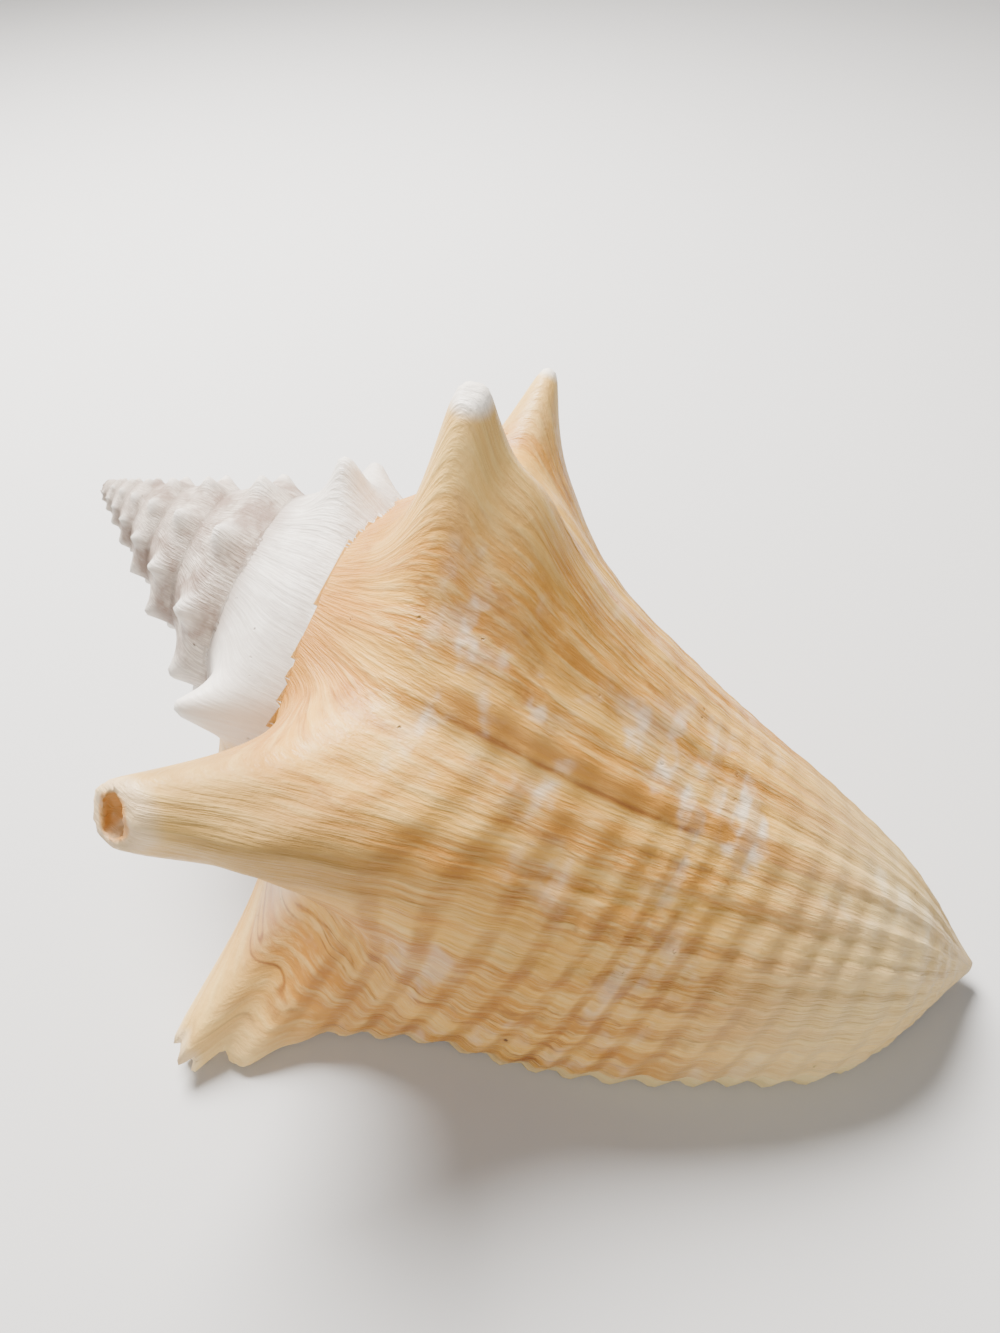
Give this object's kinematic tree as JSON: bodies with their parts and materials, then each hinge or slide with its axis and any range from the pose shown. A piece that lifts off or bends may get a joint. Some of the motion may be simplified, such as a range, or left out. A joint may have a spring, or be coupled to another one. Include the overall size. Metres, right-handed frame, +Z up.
{
  "type": "queen conch shell",
  "caption": "Empty queen conch shell: a tall knobbed spire, long shoulder spines on the last whorl and a flared wavy lip, resting aperture down",
  "frame": {"origin": "centre of the bounding box's bottom, on the surface the shell rests on", "axes": "+X runs along the shell from the spire to the tip of the siphonal canal, -Y is the side of the outer lip, +Z is up"},
  "size_m": [0.2154, 0.1474, 0.1252],
  "materials": {
    "shell": "semi-gloss, calcareous shell with growth lines"
  },
  "bodies": {
    "root": {"shell": "shell"}
  },
  "joints": []
}
